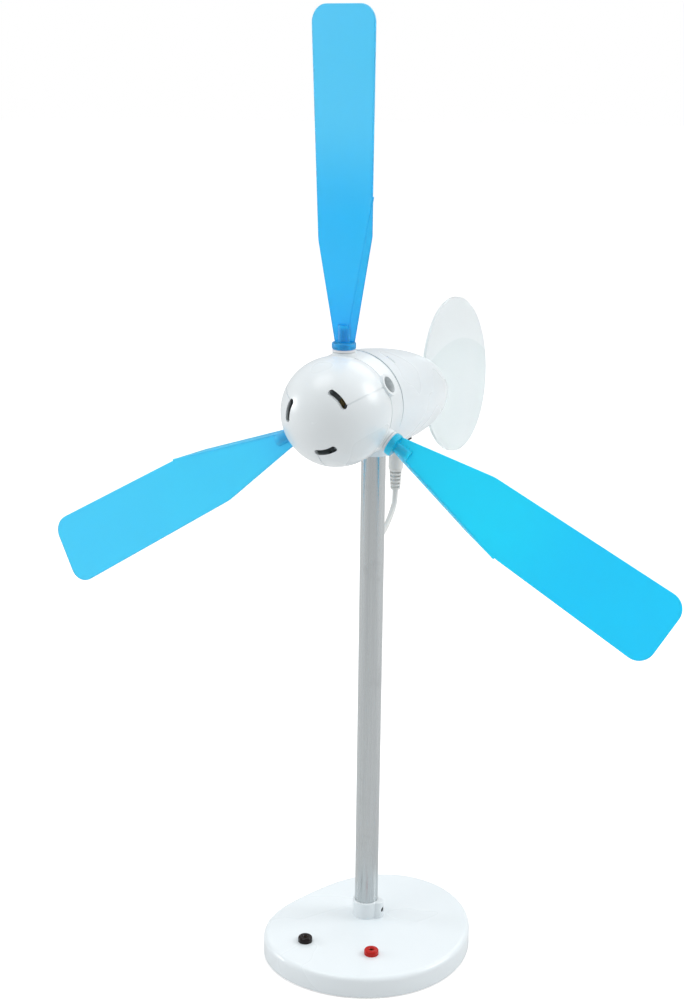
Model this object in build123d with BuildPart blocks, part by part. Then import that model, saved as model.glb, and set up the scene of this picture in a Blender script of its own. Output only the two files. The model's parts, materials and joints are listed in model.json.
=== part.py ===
"""Desk-top model wind turbine: weighted pebble base, mast, yawing nacelle with a small
generator, three-bladed rotor whose blades turn in the hub, and a tail vane.

Millimetres. +Z is up, the rotor faces -Y, and the origin is on the mast's axis at the
underside of the base.
"""
import os
from math import cos, pi, radians, sin, tan

from build123d import *

os.makedirs("parts", exist_ok=True)

# ---------------------------------------------------------------- driving dimensions
RUN_CLEARANCE = 0.05  # radial gap of every running fit
SEAT_CLEARANCE = 0.03  # radial gap of pieces that are seated and do not turn
PRESS_GAP = 0.01  # radial gap of pieces pressed on the shaft or moulded round it
PANEL_CLEARANCE = 0.2  # gap round a cover or a plate that drops into a recess
BLEND = 0.5  # how far a boss runs into the wall that it grows from
PASS = 1.0  # how far a cut runs past the face that it opens

# screws
SMALL_SCREW_R = 1.0  # screws of the hub and the generator
CASE_SCREW_R = 1.1  # screws of the base and the nacelle
SCREW_HEAD_R = 2.0
SMALL_HEAD_R = 1.9
HEAD_GAP = 0.1  # gap round a screw's head in its counterbore
SCREW_HOLE_SPARE = 0.5  # depth left under a screw's end
CROSS_LENGTH = 2.6
CROSS_WIDTH = 0.5
CROSS_DEPTH = 0.6
ON_END = (Align.CENTER, Align.CENTER, Align.MIN)

# base
BASE_RADIUS = 52.3  # mean radius of the pebble outline
PEBBLE_BULGE = 6.85  # the outline's departures from a circle, by number of waves
PEBBLE_TWO_WAVE = (2.65, -3.05)
PEBBLE_THREE_WAVE = -1.5
PEBBLE_POINTS = 16
BASE_CENTRE_Y = -9.5
BASE_TOP = 11.3
BASE_WALL = 2.0
BASE_EDGE_ROUND = 2.6
SKIRT_GAP = 0.6  # the shell's lower edge stands this far above the table
PAD_THICKNESS = 1.0
COVER_THICKNESS = 1.6
BALLAST_THICKNESS = 3.4
BALLAST_MARGIN = 2.5
BALLAST_SOCKET_HOLE_R = 9.0
BALLAST_BOSS_GAP = 0.5
BASE_SCREW_RADIUS = 36.0
BASE_SCREW_ANGLES = (60, 130, 215, 300)
BASE_BOSS_R = 3.0
BASE_SCREW_LENGTH = 7.0
BASE_SCREW_HEAD = 1.0

# mast
MAST_R = 6.0
MAST_WALL = 1.0
MAST_TOP = 276.0
MAST_SHOULDER = 1.0  # ledge under the mast
COLLAR_R = 7.0
COLLAR_TOP = 20.2
COLLAR_EDGE_ROUND = 0.5
SET_BOSS_REACH = 9.6
SET_BOSS_WIDTH = 6.0
SET_SCREW_R = 1.5
SET_SCREW_LENGTH = 2.9
SET_SCREW_TIP_GAP = 0.1
SET_SCREW_KEY_R = 0.9
SET_SCREW_KEY_DEPTH = 1.6
GROMMET_Z = 216.2
GROMMET_HOLE_R = 2.3
GROMMET_PROUD = 1.2
GROMMET_RIM = 1.0
GROMMET_ROUND = 0.5
GROMMET_PLUG = 1.6  # how far the grommet reaches into the mast from its outer face

# output sockets: two millimetre plugs
SOCKET_SPACING = 35.5
SOCKET_MID = (0.35, -37.2)
SOCKET_SKEW = 4.7
SOCKET_HEAD_R = 3.65
SOCKET_HEAD_HEIGHT = 2.8
SOCKET_HEAD_ROUND = 1.1
SOCKET_MOUTH_R = 1.7
SOCKET_SHANK_R = 2.7
SOCKET_BOTTOM = 6.2
CONTACT_BORE_R = 1.0
CONTACT_R = 1.6
CONTACT_BOTTOM = 3.4
CONTACT_TOP = 13.3
SOCKET_NUT_AF = 8.0
SOCKET_NUT_HEIGHT = 1.6

# rotor
ROTOR_Y = -37.5
ROTOR_Z = 291.0
DOME_R = 25.5
DOME_FORWARD = 8.0
HUB_WALL = 2.0
HUB_DEPTH = 12.0
HUB_REAR_R = 25.2
HUB_REAR_ROUND = 0.8
SEAM_GROOVE_WIDTH = 0.45  # shadow groove between the dome and the back of the hub
SEAM_GROOVE_DEPTH = 0.9
SOCKET_BORE_R = 4.0
SOCKET_TUBE_R = 5.3
SOCKET_TUBE_IN = 19.1
SOCKET_TUBE_OUT = 26.3
HUB_SCREW_PCR = 13.0
HUB_BOSS_R = 2.5
HUB_SCREW_CLOCKS = (90, 210, 330)
HUB_SCREW_REACH = 8.0
HUB_SCREW_SEAT = 1.5  # depth of the counterbore for a hub screw's head
HUB_SCREW_SUNK = 0.2
INSERT_AF = 8.0
INSERT_WALL = 3.0
INSERT_PROUD = 1.0  # the insert stands this far out of the hub's back
SHAFT_FRONT = 3.2  # the shaft's end is this far behind the rotor's plane
DOME_SLOT_RADIUS = 14.7
DOME_SLOT_WIDTH = 2.7
DOME_SLOT_ARC = 33.0
DOME_SLOT_CLOCK = 43.0
CREASE_WIDTH = 0.5
CREASE_DEPTH = 0.35
CREASE_INNER = 15.0

# blades
BLADE_TIP = 178.6
BLADE_SHOULDER = 76.0
BLADE_ROOT = 30.2
BLADE_THICKNESS = 1.5
BLADE_EDGE_ROUND = 0.45
TIP_ROUND = 8.0
SHOULDER_ROUND = 20.0
COLLAR_ROUND = 0.8
BLADE_TIP_TRAIL = -20.0
BLADE_TIP_LEAD = 15.2
BLADE_SHOULDER_TRAIL = -15.1
BLADE_ROOT_TRAIL = -5.0
CREASE_START = (1.0, BLADE_ROOT)
CREASE_END = (14.9, 97.0)
FLANGE_FOLD = 68.0
FLANGE_WIDTH = 4.4
FLANGE_END_WIDTH = 3.4
FLANGE_STRAIGHT = 0.74  # share of the crease along which the flange keeps its width
FLANGE_THICKNESS = 1.3
COLLAR_BLADE_R = 5.6
COLLAR_BLADE_LENGTH = 3.2
SPIGOT_R = 1.9
SPIGOT_LENGTH = 9.0
BLADE_BOSS_R = 2.8
BLADE_BOSS_END = 38.6
SPIGOT_END_GAP = 0.2
HOLDER_FLANGE_LENGTH = 1.1
HOLDER_HEAD_LENGTH = 1.9
BLADES = {"top": (0, 14.0), "right": (120, 16.0), "left": (240, -9.0)}

# nacelle
NACELLE_FRONT = -24.0
NACELLE_FRONT_Z = 291.2
NACELLE_R = 24.6
NACELLE_LENGTH = 95.0
NACELLE_DROOP = 7.0
NACELLE_WALL = 1.8
NACELLE_FULLNESS = (2.2, 3.2)
NACELLE_STATIONS = 13
NACELLE_FRONT_SPARE = 6.0  # the drooping body is made this much longer in front and cut square
BULKHEAD_R = 22.0
BULKHEAD_THICKNESS = 2.0
BULKHEAD_RECESS = 1.0
BULKHEAD_RIM_WIDTH = 2.0  # width of the rib behind the bulkhead's rim
BULKHEAD_MOUTH_STEP = 0.8
BULKHEAD_SCREW_SEAT = 1.0
NECK_R = 9.0
NECK_BOTTOM = 261.4
BUSH_R = 7.5
BUSH_CAP = 1.4
RIB_THICKNESS = 1.5
LEDGE_THICKNESS = 1.2
NACELLE_SCREWS = [(-13.0, 272.5), (26.0, 300.0), (57.0, 281.0)]
NACELLE_BOSS_R = 2.6
SCREW_HEAD_X = 7.0
SCREW_HEAD_HEIGHT = 1.4
SCREW_REACH = 8.0
SLIT_Y = -12.5
SLIT_CLOCK = 32.0
SLIT_LENGTH = 5.4
SLIT_WIDTH = 0.9
SLIT_DEPTH = 2.6  # deeper than the wall, so that the slit opens into the nacelle
NACELLE_NECK_HOLD = 0.5  # share of the nacelle's radius that the neck and the lead's boss reach up

# tail vane
VANE_CENTRE = (114.8, 279.5)
VANE_LONG = 51.7
VANE_SHORT = 40.8
VANE_SLOPE = 27.8
VANE_THICKNESS = 1.5
VANE_TAB = (51.5, 268.0, 294.0)
VANE_EDGE_ROUND = 0.4
VANE_SLOT_LENGTH = 40.0

# generator
CAN_R = 12.0
CAN_WALL = 1.0
CAN_LENGTH = 26.5
CAN_FACE = 1.5
CAN_BOSS_R = 3.5
CAN_BOSS_LENGTH = 1.2
BEARING_R = 2.5
BEARING_LENGTH = 3.2
MAGNET_LENGTH = 16.0
MAGNET_INSET = 3.0
MAGNET_GAP = 0.5
MAGNET_PARTING = 5.0
ARMATURE_LENGTH = 14.0
ARMATURE_INSET = 4.0
COMMUTATOR_R = 2.6
COMMUTATOR_LENGTH = 3.6
SHAFT_TAIL = 1.0  # the shaft runs this far past the can's back
TERMINAL_X = 7.0
TERMINAL_LENGTH = 7.0
TERMINAL_SECTION = (0.5, 2.5)
CAP_THICKNESS = 2.4
CAP_SPIGOT = 3.0
CAP_SPIGOT_WALL = 1.6
SHAFT_R = 1.0
ARMATURE_R = 8.5
ARMATURE_SLOTS = 3
ARMATURE_SLOT = (6.0, 1.4)
ARMATURE_WINDOW = (3.0, 5.0)
ARMATURE_WINDOW_R = 5.2
GENERATOR_SCREW_X = 8.0
GENERATOR_SCREW_HEAD = 0.9
GENERATOR_SCREW_SUNK = 0.1

# lead and its plug
JACK_Y = 29.5
JACK_FACE = 261.0
JACK_NECK_R = 5.0
JACK_BODY_BOTTOM = 265.2
JACK_BODY = (8.0, 8.0, 10.0)
JACK_BODY_ROUND = 0.8
JACK_END_WALL = 1.0
JACK_TIP_GAP = 0.4
JACK_SCREW_CLOCK = 151.0
JACK_SCREW_Y = 18.5
JACK_SCREW_R = 0.75
JACK_SCREW_HEAD_R = 1.2
JACK_SCREW_BOSS = 2.7
JACK_SCREW_BOSS_R = 2.2
JACK_ARM_THICKNESS = 1.5
JACK_ARM_WIDTH = 1.8
JACK_SCREW_INSET = 1.9  # the screw's seat lies this far inside the nacelle's widest radius
JACK_SCREW_HEAD = 1.2
JACK_SCREW_SPARE = 0.2
PLUG_R = 3.7
PLUG_GAP = 0.1
PLUG_SHOULDER = 247.0
RELIEF_BOTTOM = 236.0
RELIEF_TOP_R = 3.2
RELIEF_BOTTOM_R = 2.45
RELIEF_SLITS = 5
RELIEF_SLIT_START = 0.9
RELIEF_SLIT_PITCH = 1.9
RELIEF_SLIT_WIDTH = 0.95
RELIEF_CORE = 0.35  # wall left between the lead and a slit
RELIEF_BRIDGE = 1.3
PLUG_EDGE_ROUND = 0.5
PLUG_SLOPE = 1.0
TIP_R = 1.75
TIP_LENGTH = 11.5
TIP_END_ROUND = 0.8
LEAD_R = 1.4
WIRE_R = 0.6
WIRE_PAIR_X = 0.7  # each conductor leaves the cable this far from its middle
WIRE_LIFT = 1.6  # the wires run this far above the ballast plate
WIRE_TURN_DOWN = 12.0  # distance from a socket at which its wire starts down to the lug
LUG_GAP = 0.12
WIRE_END_GAP = 0.05
CABLE_Y = -0.6
CABLE_END = 21.0

# ---------------------------------------------------------------- worked-out places
COVER_BOTTOM = PAD_THICKNESS
COVER_TOP = COVER_BOTTOM + COVER_THICKNESS
BALLAST_TOP = COVER_TOP + BALLAST_THICKNESS
SHELL_CEILING = BASE_TOP - BASE_WALL
MAST_BOTTOM = SHELL_CEILING + MAST_SHOULDER
SET_SCREW_Z = (BASE_TOP + COLLAR_TOP) / 2
HUB_CENTRE = Vector(0, ROTOR_Y, ROTOR_Z)
NOSE = Vector(0, -1, 0)
HUB_FACE_PLANE = Plane(origin=HUB_CENTRE, x_dir=(1, 0, 0), z_dir=NOSE)
HUB_PROFILE_PLANE = Plane(origin=HUB_CENTRE, x_dir=(1, 0, 0), z_dir=(0, 0, -1))
ROTOR_AXIS = Axis(HUB_CENTRE, NOSE)
SEAM_R = (DOME_R**2 - DOME_FORWARD**2) ** 0.5
BULKHEAD_FRONT = NACELLE_FRONT + BULKHEAD_RECESS
CAN_FRONT = BULKHEAD_FRONT + BULKHEAD_THICKNESS
CAN_BACK = CAN_FRONT + CAN_LENGTH
PLUG_TOP = JACK_FACE - PLUG_GAP
BUSH_TOP = MAST_TOP + RUN_CLEARANCE + BUSH_CAP
HOLDER_HEAD_FACE = SOCKET_TUBE_IN - PANEL_CLEARANCE
HOLDER_FACE = SOCKET_TUBE_OUT + PANEL_CLEARANCE
COLLAR_FACE = HOLDER_FACE + HOLDER_FLANGE_LENGTH


def finish(piece, label):
    """Names a finished piece and writes it to its own file."""
    piece.part.label = label
    export_step(piece.part, f"parts/{label}.step")


def clock(angle):
    """Unit vector in the rotor's plane, at an angle clockwise from the top as seen from the front."""
    return Vector(sin(radians(angle)), 0, cos(radians(angle)))


def pebble(inset=0.0):
    """Closed spline of the base's pebble outline, moved inwards by inset."""
    even, skew = PEBBLE_TWO_WAVE
    points = []
    for step in range(PEBBLE_POINTS):
        a = radians(360 * step / PEBBLE_POINTS)
        r = BASE_RADIUS - inset + PEBBLE_BULGE * sin(a)
        r += even * cos(2 * a) + skew * sin(2 * a) + PEBBLE_THREE_WAVE * cos(3 * a)
        points.append((r * sin(a), BASE_CENTRE_Y - r * cos(a)))
    return Spline(*points, periodic=True)


def cross_recess():
    """Cross of a screw head's recess, drawn in the sketch that is open."""
    Rectangle(CROSS_LENGTH, CROSS_WIDTH)
    Rectangle(CROSS_WIDTH, CROSS_LENGTH)


def tube_along(points, radius, label):
    """Round cable along straight runs and tangent arcs, each arc as large as its runs allow."""
    runs = [Vector(*b) - Vector(*a) for a, b in zip(points, points[1:])]
    radii = []
    for before, after in zip(runs, runs[1:]):
        half_turn = radians(before.get_angle(after)) / 2
        radii.append(0.45 * min(before.length, after.length) / tan(half_turn))
    with BuildPart() as cable:
        with BuildLine() as route:
            FilletPolyline(*points, radius=radii)
        with BuildSketch(Plane(origin=points[0], z_dir=runs[0].normalized())):
            Circle(radius)
        sweep()
    length = sum(edge.length for edge in route.edges())
    ratio = cable.part.volume / (pi * radius**2 * length)
    print(label, "radii", [round(r, 1) for r in radii], "length", round(length, 1),
          "volume ratio", round(ratio, 4))
    return cable


# ---------------------------------------------------------------- base
socket_places = []
for side in (-1, 1):
    skew = radians(SOCKET_SKEW)
    reach = side * SOCKET_SPACING / 2
    socket_places.append((SOCKET_MID[0] + reach * cos(skew), SOCKET_MID[1] + reach * sin(skew)))
boss_places = []
for angle in BASE_SCREW_ANGLES:
    a = radians(angle)
    boss_places.append((BASE_SCREW_RADIUS * sin(a), BASE_CENTRE_Y - BASE_SCREW_RADIUS * cos(a)))

with BuildPart() as base_shell:
    with BuildSketch(Plane.XY.offset(SKIRT_GAP)):
        with BuildLine():
            pebble()
        make_face()
    extrude(amount=BASE_TOP - SKIRT_GAP)
    fillet(base_shell.edges().group_by(Axis.Z)[-1], radius=BASE_EDGE_ROUND)
    with BuildSketch(Plane.XY.offset(SKIRT_GAP)):
        with BuildLine():
            pebble(BASE_WALL)
        make_face()
    extrude(amount=SHELL_CEILING - SKIRT_GAP, mode=Mode.SUBTRACT)
    with BuildSketch(Plane.XY.offset(SHELL_CEILING)):
        Circle(COLLAR_R)
        with Locations(((SET_BOSS_REACH - SET_BOSS_WIDTH / 2) / 2, 0)):
            Rectangle(SET_BOSS_REACH - SET_BOSS_WIDTH / 2, SET_BOSS_WIDTH)
        with Locations((SET_BOSS_REACH - SET_BOSS_WIDTH / 2, 0)):
            Circle(SET_BOSS_WIDTH / 2)
    extrude(amount=COLLAR_TOP - SHELL_CEILING)
    fillet(base_shell.edges().group_by(Axis.Z)[-1], radius=COLLAR_EDGE_ROUND)
    with BuildSketch(Plane.XY.offset(COVER_TOP)):
        with Locations(boss_places):
            Circle(BASE_BOSS_R)
    extrude(amount=SHELL_CEILING - COVER_TOP + BLEND)
    with BuildSketch(Plane.XY.offset(MAST_BOTTOM)):
        Circle(MAST_R + SEAT_CLEARANCE)
    extrude(amount=COLLAR_TOP, mode=Mode.SUBTRACT)
    with BuildSketch(Plane.XY.offset(SHELL_CEILING)):
        Circle(MAST_R - MAST_WALL)
    extrude(amount=MAST_SHOULDER, mode=Mode.SUBTRACT)
    with BuildSketch(Plane.XY.offset(SHELL_CEILING)):
        with Locations(socket_places):
            Circle(SOCKET_SHANK_R + SEAT_CLEARANCE)
    extrude(amount=BASE_WALL, mode=Mode.SUBTRACT)
    with BuildSketch(Plane.XY.offset(COVER_TOP)):
        with Locations(boss_places):
            Circle(CASE_SCREW_R + SEAT_CLEARANCE)
    extrude(amount=BASE_SCREW_LENGTH - COVER_THICKNESS + SCREW_HOLE_SPARE, mode=Mode.SUBTRACT)
    with BuildSketch(Plane(origin=(MAST_R - MAST_WALL, 0, SET_SCREW_Z), z_dir=(1, 0, 0))):
        Circle(SET_SCREW_R + SEAT_CLEARANCE)
    extrude(amount=SET_BOSS_REACH, mode=Mode.SUBTRACT)
finish(base_shell, "base_shell")

with BuildPart() as base_cover:
    with BuildSketch(Plane.XY.offset(COVER_BOTTOM)):
        with BuildLine():
            pebble(BASE_WALL + PANEL_CLEARANCE)
        make_face()
    extrude(amount=COVER_THICKNESS)
    with Locations(*[(x, y, COVER_BOTTOM) for x, y in boss_places]):
        Cylinder(CASE_SCREW_R + HEAD_GAP, COVER_THICKNESS, align=ON_END, mode=Mode.SUBTRACT)
        Cone(SCREW_HEAD_R + HEAD_GAP, CASE_SCREW_R + HEAD_GAP, BASE_SCREW_HEAD,
             align=ON_END, mode=Mode.SUBTRACT)
finish(base_cover, "base_cover")

with BuildPart() as base_pad:
    with BuildSketch():
        with BuildLine():
            pebble(BASE_WALL + PANEL_CLEARANCE)
        make_face()
    extrude(amount=PAD_THICKNESS)
finish(base_pad, "base_pad")

with BuildPart() as ballast_plate:
    with BuildSketch(Plane.XY.offset(COVER_TOP)):
        with BuildLine():
            pebble(BASE_WALL + BALLAST_MARGIN)
        make_face()
        with Locations(boss_places):
            Circle(BASE_BOSS_R + BALLAST_BOSS_GAP, mode=Mode.SUBTRACT)
        with Locations(socket_places):
            Circle(BALLAST_SOCKET_HOLE_R, mode=Mode.SUBTRACT)
    extrude(amount=BALLAST_THICKNESS)
finish(ballast_plate, "ballast_plate")

with BuildPart() as base_screws:
    with Locations(*[(x, y, COVER_BOTTOM) for x, y in boss_places]):
        Cone(SCREW_HEAD_R, CASE_SCREW_R, BASE_SCREW_HEAD, align=ON_END)
        Cylinder(CASE_SCREW_R, BASE_SCREW_LENGTH, align=ON_END)
    with BuildSketch(Plane.XY.offset(COVER_BOTTOM)):
        with Locations(boss_places):
            cross_recess()
    extrude(amount=CROSS_DEPTH, mode=Mode.SUBTRACT)
finish(base_screws, "base_screws")

with BuildPart() as mast_set_screw:
    with BuildSketch(Plane(origin=(MAST_R + SET_SCREW_TIP_GAP, 0, SET_SCREW_Z), z_dir=(1, 0, 0))) as tip:
        Circle(SET_SCREW_R)
    extrude(amount=SET_SCREW_LENGTH)
    with BuildSketch(tip.workplanes[0].offset(SET_SCREW_LENGTH)):
        RegularPolygon(SET_SCREW_KEY_R, 6)
    extrude(amount=-SET_SCREW_KEY_DEPTH, mode=Mode.SUBTRACT)
finish(mast_set_screw, "mast_set_screw")

for (x, y), colour in zip(socket_places, ("black", "red")):
    with BuildPart() as socket_body:
        with BuildSketch(Plane.XY.offset(BASE_TOP)):
            with Locations((x, y)):
                Circle(SOCKET_HEAD_R)
        extrude(amount=SOCKET_HEAD_HEIGHT)
        fillet(socket_body.edges().group_by(Axis.Z)[-1], radius=SOCKET_HEAD_ROUND)
        with BuildSketch(Plane.XY.offset(SOCKET_BOTTOM)):
            with Locations((x, y)):
                Circle(SOCKET_SHANK_R)
        extrude(amount=BASE_TOP - SOCKET_BOTTOM)
        with BuildSketch(Plane.XY.offset(SOCKET_BOTTOM)):
            with Locations((x, y)):
                Circle(CONTACT_R + SEAT_CLEARANCE)
        extrude(amount=CONTACT_TOP - SOCKET_BOTTOM, mode=Mode.SUBTRACT)
        with Locations((x, y, CONTACT_TOP)):
            Cone(CONTACT_BORE_R, SOCKET_MOUTH_R, BASE_TOP + SOCKET_HEAD_HEIGHT - CONTACT_TOP,
                 align=ON_END, mode=Mode.SUBTRACT)
    finish(socket_body, f"socket_{colour}")

with BuildPart() as socket_contacts:
    with BuildSketch(Plane.XY.offset(CONTACT_BOTTOM)):
        with Locations(socket_places):
            Circle(CONTACT_R)
            Circle(CONTACT_BORE_R, mode=Mode.SUBTRACT)
    extrude(amount=CONTACT_TOP - CONTACT_BOTTOM)
finish(socket_contacts, "socket_contacts")

with BuildPart() as socket_nuts:
    with BuildSketch(Plane.XY.offset(SHELL_CEILING - SOCKET_NUT_HEIGHT)):
        with Locations(socket_places):
            RegularPolygon(SOCKET_NUT_AF / 2, 6, major_radius=False)
            Circle(SOCKET_SHANK_R + SEAT_CLEARANCE, mode=Mode.SUBTRACT)
    extrude(amount=SOCKET_NUT_HEIGHT)
finish(socket_nuts, "socket_nuts")

# ---------------------------------------------------------------- mast
with BuildPart() as mast_tube:
    with BuildSketch(Plane.XY.offset(MAST_BOTTOM)):
        Circle(MAST_R)
        Circle(MAST_R - MAST_WALL, mode=Mode.SUBTRACT)
    extrude(amount=MAST_TOP - MAST_BOTTOM)
    with BuildSketch(Plane(origin=(0, 0, GROMMET_Z), z_dir=(0, 1, 0))):
        Circle(GROMMET_HOLE_R)
    extrude(amount=MAST_R + PASS, mode=Mode.SUBTRACT)
finish(mast_tube, "mast_tube")

with BuildPart() as mast_grommet:
    with BuildSketch(Plane(origin=(0, MAST_R / 2, GROMMET_Z), z_dir=(0, 1, 0))):
        Circle(GROMMET_HOLE_R + GROMMET_RIM)
    extrude(amount=MAST_R / 2 + GROMMET_PROUD)
    fillet(mast_grommet.edges().group_by(Axis.Y)[-1], radius=GROMMET_ROUND)
    with Locations((0, 0, GROMMET_Z)):
        Cylinder(MAST_R, 4 * GROMMET_HOLE_R, mode=Mode.SUBTRACT)
    with BuildSketch(Plane(origin=(0, MAST_R - GROMMET_PLUG, GROMMET_Z), z_dir=(0, 1, 0))):
        Circle(GROMMET_HOLE_R - SEAT_CLEARANCE)
    extrude(amount=GROMMET_PLUG + GROMMET_PROUD / 2)
    with BuildSketch(Plane(origin=(0, 0, GROMMET_Z), z_dir=(0, 1, 0))):
        Circle(LEAD_R + SEAT_CLEARANCE)
    extrude(amount=2 * MAST_R, mode=Mode.SUBTRACT)
finish(mast_grommet, "mast_grommet")

mast_cable_route = [
    (0, MAST_R + GROMMET_PROUD, GROMMET_Z),
    (0, 1.8, GROMMET_Z),
    (0, CABLE_Y, GROMMET_Z - 5.4),
    (0, CABLE_Y, CABLE_END),
]
mast_cable = tube_along(mast_cable_route, LEAD_R, "mast_cable")
finish(mast_cable, "mast_cable")

with BuildPart() as base_wires:
    for side, (x, y) in zip((-1, 1), socket_places):
        reach = (x**2 + y**2) ** 0.5
        drop = (reach - WIRE_TURN_DOWN) / reach
        lug = (reach - CONTACT_R - LUG_GAP) / reach
        level = BALLAST_TOP + WIRE_LIFT
        wire_route = [
            (WIRE_PAIR_X * side, CABLE_Y, CABLE_END),
            (WIRE_PAIR_X * side, CABLE_Y, level),
            (0.4 * x + 2.0 * side, 0.4 * y, level),
            (drop * x, drop * y, level),
            (lug * x, lug * y, SOCKET_BOTTOM - 1.0),
        ]
        add(tube_along(wire_route, WIRE_R, "base_wire").part)
finish(base_wires, "base_wires")

# ---------------------------------------------------------------- nacelle shells
def nacelle_profile(wall=0.0):
    """Half outline of the nacelle about its drooping axis, moved inwards by wall."""
    length = NACELLE_LENGTH - wall
    grow, close = NACELLE_FULLNESS
    points = []
    for step in range(NACELLE_STATIONS):
        share = sin(radians(90 * step / (NACELLE_STATIONS - 1)))
        radius = (NACELLE_R - wall) * (1 - share**grow) ** (1 / close)
        points.append((radius, length * share))
    nose = Line((0, -NACELLE_FRONT_SPARE), (NACELLE_R - wall, -NACELLE_FRONT_SPARE))
    Line(nose @ 1, points[0])
    tail = Spline(*points, tangents=[(0, 1), (-1, 0)])
    Line(tail @ 1, nose @ 0)


droop = radians(NACELLE_DROOP)
nacelle_back = Vector(0, cos(droop), -sin(droop))
nacelle_start = Vector(0, NACELLE_FRONT, NACELLE_FRONT_Z)
nacelle_axis = Axis(nacelle_start, nacelle_back)
nacelle_plane = Plane(origin=nacelle_start, x_dir=(1, 0, 0), z_dir=Vector(1, 0, 0).cross(nacelle_back))
SIDE_PLANE = Plane.YZ  # local x is +Y and local y is +Z
droop_at_screw = (JACK_SCREW_Y - NACELLE_FRONT) * tan(droop)
jack_screw_middle = Vector(0, JACK_SCREW_Y, NACELLE_FRONT_Z - droop_at_screw)
jack_screw_out = clock(JACK_SCREW_CLOCK)
jack_screw_seat = Plane(
    origin=jack_screw_middle + jack_screw_out * (NACELLE_R - JACK_SCREW_INSET), z_dir=jack_screw_out
)

with BuildPart() as nacelle_outside:
    with BuildSketch(nacelle_plane):
        with BuildLine():
            nacelle_profile()
        make_face()
    revolve(axis=nacelle_axis)
    with BuildSketch(Plane.XY.offset(NECK_BOTTOM)):
        Circle(NECK_R)
    extrude(amount=NACELLE_FRONT_Z - NECK_BOTTOM - NACELLE_R * NACELLE_NECK_HOLD)
    with BuildSketch(Plane.XY.offset(JACK_FACE)):
        with Locations((0, JACK_Y)):
            Circle(JACK_NECK_R)
    extrude(amount=NACELLE_R * NACELLE_NECK_HOLD)
    split(bisect_by=Plane.XZ.offset(-NACELLE_FRONT), keep=Keep.BOTTOM)

with BuildPart() as nacelle_cavity:
    with BuildSketch(nacelle_plane):
        with BuildLine():
            nacelle_profile(NACELLE_WALL)
        make_face()
    revolve(axis=nacelle_axis)
    with BuildSketch(Plane.XY.offset(NECK_BOTTOM)):
        Circle(NECK_R)
    extrude(amount=BUSH_TOP + LEDGE_THICKNESS - NECK_BOTTOM, mode=Mode.SUBTRACT)
    with BuildSketch(Plane.XY.offset(JACK_FACE)):
        with Locations((0, JACK_Y)):
            Rectangle(JACK_BODY[0] + 2 * JACK_END_WALL, JACK_BODY[1] + 2 * JACK_END_WALL)
    extrude(amount=JACK_BODY_BOTTOM - JACK_FACE, mode=Mode.SUBTRACT)
    with BuildSketch(jack_screw_seat.offset(-JACK_SCREW_BOSS)):
        Circle(JACK_SCREW_BOSS_R)
    extrude(amount=NACELLE_R, mode=Mode.SUBTRACT)
    with BuildSketch(SIDE_PLANE.offset(-NACELLE_R)):
        with Locations(NACELLE_SCREWS):
            Circle(NACELLE_BOSS_R)
    extrude(amount=2 * NACELLE_R, mode=Mode.SUBTRACT)
    with BuildSketch(Plane.XZ.offset(-CAN_FRONT)):
        with Locations((0, ROTOR_Z)):
            Circle(NACELLE_R)
            Circle(BULKHEAD_R - BULKHEAD_RIM_WIDTH, mode=Mode.SUBTRACT)
    extrude(amount=-RIB_THICKNESS, mode=Mode.SUBTRACT)
    with BuildSketch(Plane.XZ.offset(-BULKHEAD_FRONT)):
        with Locations((0, ROTOR_Z)):
            Circle(NACELLE_R)
            Circle(BULKHEAD_R - BULKHEAD_MOUTH_STEP, mode=Mode.SUBTRACT)
    extrude(amount=NACELLE_FRONT_SPARE, mode=Mode.SUBTRACT)

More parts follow.
